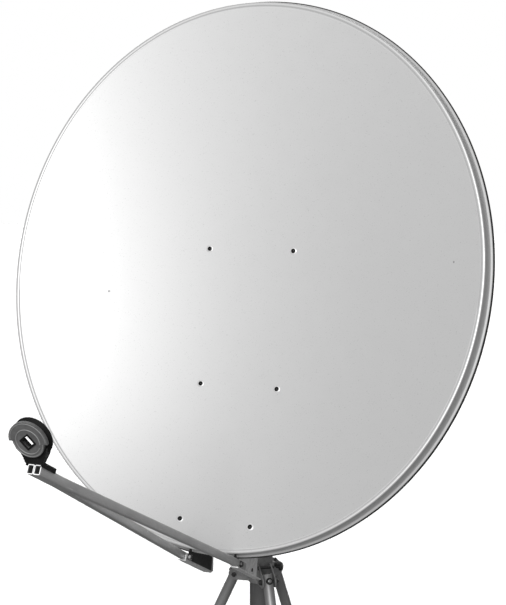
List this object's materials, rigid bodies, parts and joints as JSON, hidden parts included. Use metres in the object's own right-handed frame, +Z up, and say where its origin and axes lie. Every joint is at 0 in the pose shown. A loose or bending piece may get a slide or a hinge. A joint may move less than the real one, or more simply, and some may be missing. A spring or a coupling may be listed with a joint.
{
  "type": "offset satellite dish on tripod",
  "caption": "Offset satellite dish with a twin feed arm and an elevation head on a folding tripod, for free-standing outdoor reception.",
  "frame": {"origin": "on the ground, under the middle of the object's box", "axes": "+Z up, -Y the way the dish looks and its feed arm points, +X to the right of someone who looks along +Y"},
  "size_m": [1.122, 1.3998, 2.0739],
  "materials": {
    "reflector_paint": "light grey powder coat on sheet steel, satin",
    "galvanised_sheet": "hot-dip galvanised pressed sheet, faint spangle",
    "arm_tube": "zinc-coated rectangular tube, drawn grain along its length",
    "bolt_zinc": "zinc-plated steel, slightly dulled",
    "mast_tube": "galvanised round tube, dull",
    "tripod_steel": "galvanised tube and welded plate, dull",
    "feed_plastic": "black moulded plastic, weathered matt",
    "cap_plastic": "black moulded plastic, fine texture",
    "foot_rubber": "black moulded rubber"
  },
  "bodies": {
    "tripod": {"tripod_hub": "tripod_steel", "leg_bolt_left": "bolt_zinc", "leg_bolt_front": "bolt_zinc", "leg_bolt_back": "bolt_zinc", "leg_nut_left": "bolt_zinc", "leg_nut_front": "bolt_zinc", "leg_nut_back": "bolt_zinc", "stop_pin_left": "bolt_zinc", "stop_pin_front": "bolt_zinc", "stop_pin_back": "bolt_zinc"},
    "clamp_knob": {"mast_clamp_knob": "cap_plastic"},
    "left_leg": {"leg_left": "tripod_steel", "foot_left": "foot_rubber"},
    "front_leg": {"leg_front": "tripod_steel", "foot_front": "foot_rubber"},
    "back_leg": {"leg_back": "tripod_steel", "foot_back": "foot_rubber"},
    "mast": {"mast": "mast_tube", "mast_cap_top": "cap_plastic", "mast_cap_bottom": "cap_plastic"},
    "head": {"head_bracket": "galvanised_sheet", "u_bolt_upper": "bolt_zinc", "u_bolt_lower": "bolt_zinc", "saddle_upper": "galvanised_sheet", "saddle_lower": "galvanised_sheet", "u_bolt_nut_upper_left": "bolt_zinc", "u_bolt_nut_upper_right": "bolt_zinc", "u_bolt_nut_lower_left": "bolt_zinc", "u_bolt_nut_lower_right": "bolt_zinc", "pivot_bolt": "bolt_zinc", "pivot_nut": "bolt_zinc", "lock_bolt_left": "bolt_zinc", "lock_bolt_right": "bolt_zinc"},
    "dish": {"reflector": "reflector_paint", "face_bolt_top_left": "bolt_zinc", "face_bolt_top_right": "bolt_zinc", "face_bolt_middle_left": "bolt_zinc", "face_bolt_middle_right": "bolt_zinc", "face_bolt_bottom_left": "bolt_zinc", "face_bolt_bottom_right": "bolt_zinc", "rib_left": "galvanised_sheet", "rib_right": "galvanised_sheet", "tie_plate": "galvanised_sheet", "arm_left": "arm_tube", "arm_right": "arm_tube", "arm_bolt_left": "bolt_zinc", "arm_bolt_right": "bolt_zinc", "foot_screw_left": "bolt_zinc", "foot_screw_right": "bolt_zinc", "feed_holder": "feed_plastic"},
    "feed": {"feed_plate": "feed_plastic"}
  },
  "joints": [
    {"name": "mast_height", "type": "slide", "parent": "tripod", "child": "mast", "axis": [0, 0, 1], "range_m": [0, 0.25]},
    {"name": "clamp_knob_turn", "type": "hinge", "parent": "tripod", "child": "clamp_knob", "pos_m": [0.0368, 0.29613, 0.769], "axis": [0.9986, 0.0523, 0], "continuous": true},
    {"name": "left_leg_fold", "type": "hinge", "parent": "tripod", "child": "left_leg", "pos_m": [-0.05909, 0.28378, 0.744], "axis": [0.1736, -0.9848, 0], "range_deg": [0, 24.5]},
    {"name": "front_leg_fold", "type": "hinge", "parent": "tripod", "child": "front_leg", "pos_m": [0.03776, 0.24757, 0.744], "axis": [0.7771, 0.6293, 0], "range_deg": [0, 24.5]},
    {"name": "back_leg_fold", "type": "hinge", "parent": "tripod", "child": "back_leg", "pos_m": [0.01452, 0.35242, 0.744], "axis": [-0.9703, 0.2419, 0], "range_deg": [0, 24.5]},
    {"name": "azimuth", "type": "hinge", "parent": "mast", "child": "head", "pos_m": [0, 0.2942, 1.2], "axis": [0, 0, 1], "continuous": true},
    {"name": "elevation", "type": "hinge", "parent": "head", "child": "dish", "pos_m": [0, 0.2232, 1.265], "axis": [-1, 0, 0], "range_deg": [-12, 25]},
    {"name": "feed_skew", "type": "hinge", "parent": "dish", "child": "feed", "pos_m": [0, -0.6892, 1.2789], "axis": [0, 0.9511, 0.309], "range_deg": [-30, 30]}
  ]
}
